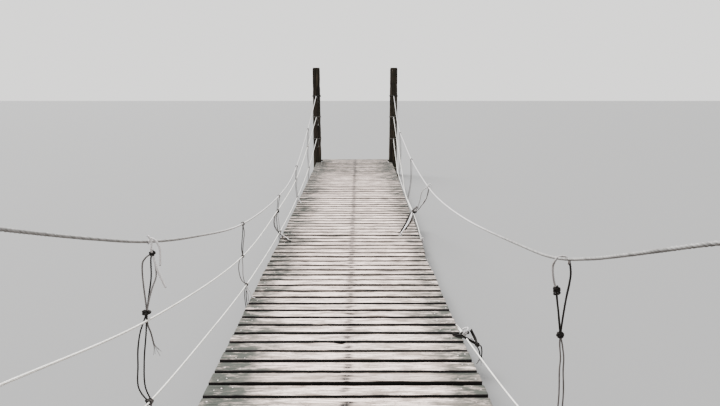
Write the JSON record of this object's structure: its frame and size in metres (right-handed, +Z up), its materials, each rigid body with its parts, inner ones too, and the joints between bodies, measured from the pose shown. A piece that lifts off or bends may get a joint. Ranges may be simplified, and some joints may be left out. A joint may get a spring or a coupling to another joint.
{
  "type": "rope suspension footbridge",
  "caption": "Plank footbridge hung between four round posts: sagging rope sides with tied hangers, weathered boards on stringers, bearers and deck cables.",
  "frame": {"origin": "middle of the near sill's underside, at ground level", "axes": "+Z up, +Y along the deck from the near bank to the far bank, +X to the right"},
  "size_m": [1.8615, 11.4597, 2.05],
  "materials": {
    "post_wood": "rough dark bark-brown trunk",
    "bearer_wood": "rough-sawn, dark and damp",
    "deck_wood": "bleached, weathered boards",
    "deck_cable": "stranded wire, dull, with rust",
    "hand_rope": "laid rope, grey, weathered",
    "side_rope": "thin laid rope, pale grey",
    "hanger_rope": "old thin rope, grey-brown"
  },
  "bodies": {
    "root": {"near_left_post": "post_wood", "near_right_post": "post_wood", "far_left_post": "post_wood", "far_right_post": "post_wood", "near_sill": "bearer_wood", "far_sill": "bearer_wood", "bearer_1": "bearer_wood", "bearer_2": "bearer_wood", "bearer_3": "bearer_wood", "bearer_4": "bearer_wood", "bearer_5": "bearer_wood", "bearer_6": "bearer_wood", "deck_bay_1": "deck_wood", "deck_bay_2": "deck_wood", "deck_bay_3": "deck_wood", "deck_bay_4": "deck_wood", "deck_bay_5": "deck_wood", "deck_bay_6": "deck_wood", "left_deck_cable": "deck_cable", "right_deck_cable": "deck_cable", "left_hand_rope": "hand_rope", "right_hand_rope": "hand_rope", "left_mid_rope": "side_rope", "left_low_rope": "side_rope", "right_mid_rope": "side_rope", "right_low_rope": "side_rope", "left_hanger_1": "hanger_rope", "left_hanger_2": "hanger_rope", "left_hanger_3": "hanger_rope", "left_hanger_4": "hanger_rope", "left_hanger_5": "hanger_rope", "right_hanger_1": "hanger_rope", "right_hanger_2_stub": "hanger_rope", "right_hanger_3": "hanger_rope", "right_hanger_4": "hanger_rope", "right_hanger_5": "hanger_rope"}
  },
  "joints": []
}
